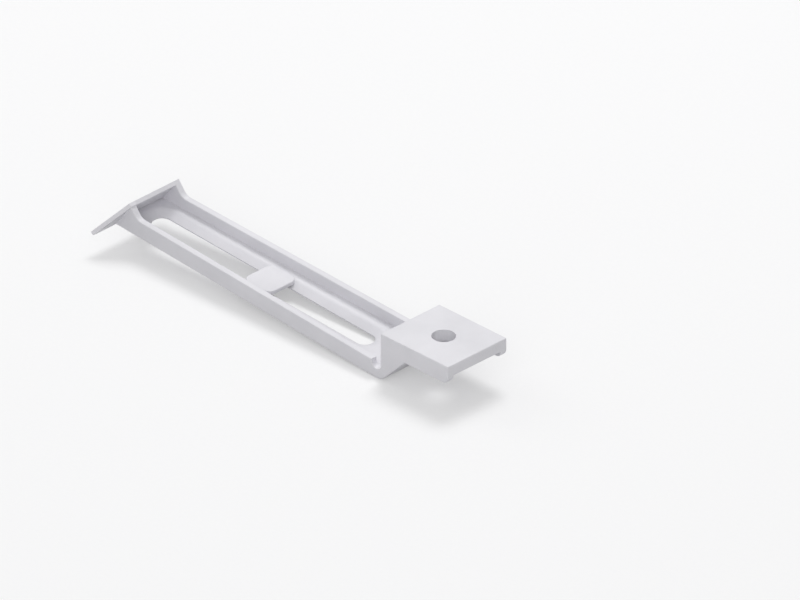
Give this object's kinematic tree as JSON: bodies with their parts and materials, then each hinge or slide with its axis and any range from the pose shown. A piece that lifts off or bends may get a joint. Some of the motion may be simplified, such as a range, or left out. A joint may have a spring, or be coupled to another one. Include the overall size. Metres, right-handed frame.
{
  "type": "cable bracket",
  "caption": "Screw-fixed moulded clip that traps cables against a panel: mounting plate, dropped slotted channel arm, snap blade with a finger wing.",
  "frame": {"origin": "centre of the screw hole on the mounting plate's top face, which lies against the panel", "axes": "+Z out of the top face into the panel; the arm runs towards -X with its centre line on Y = 0; the finger wing is on the -Y side"},
  "size_m": [0.0959, 0.0218, 0.0108],
  "materials": {
    "moulded_plastic": "light grey, fine satin grain"
  },
  "bodies": {
    "root": {"cable_bracket": "moulded_plastic"}
  },
  "joints": []
}
